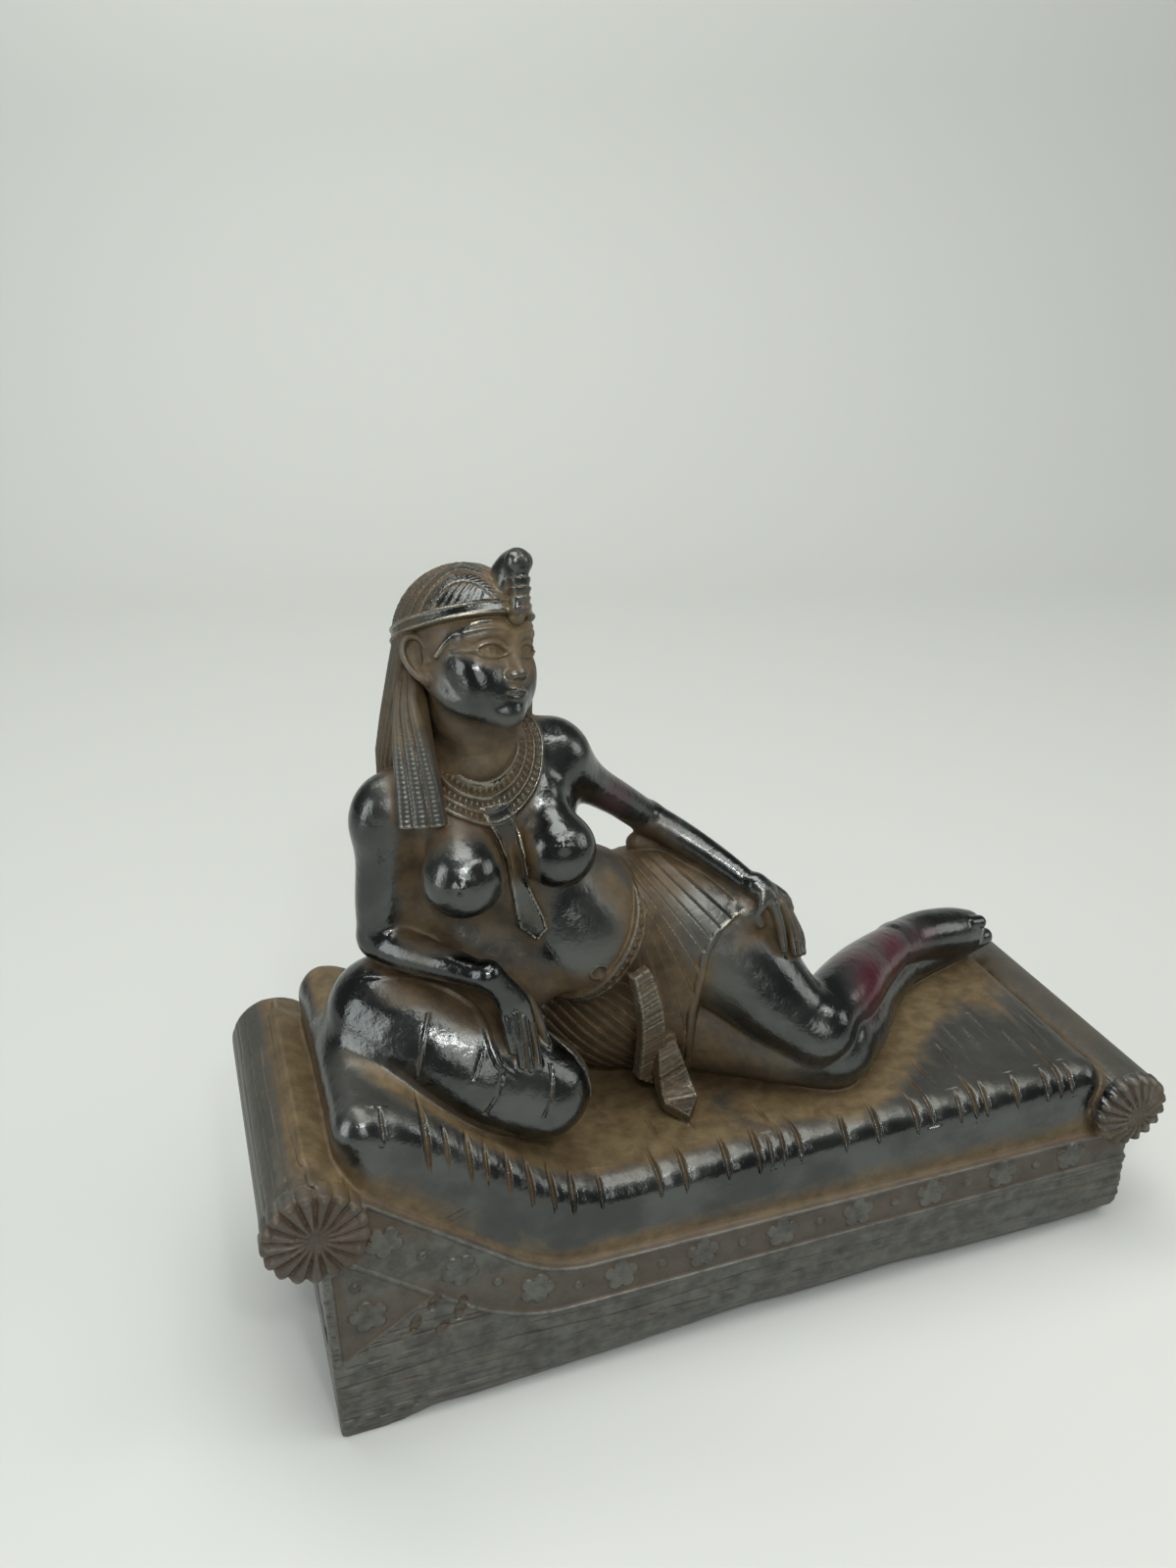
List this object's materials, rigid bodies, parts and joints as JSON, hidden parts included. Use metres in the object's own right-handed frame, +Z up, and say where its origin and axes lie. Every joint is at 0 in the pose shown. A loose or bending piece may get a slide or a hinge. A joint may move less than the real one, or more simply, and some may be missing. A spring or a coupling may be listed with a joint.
{
  "type": "reclining queen statuette",
  "caption": "Desk statuette of an Egyptian queen lying on a scrolled couch, cast in dark resin with the couch, mattress and cushion.",
  "frame": {"origin": "centre of the bounding box at the underside", "axes": "+X along the couch from the head end to the foot end, +Y to the back, +Z up; the carved front faces -Y"},
  "size_m": [0.2073, 0.0717, 0.1747],
  "materials": {
    "dark_cast_resin": "semi-gloss black-brown with matte ochre patina in the hollows"
  },
  "bodies": {
    "root": {"reclining_queen_statue": "dark_cast_resin"}
  },
  "joints": []
}
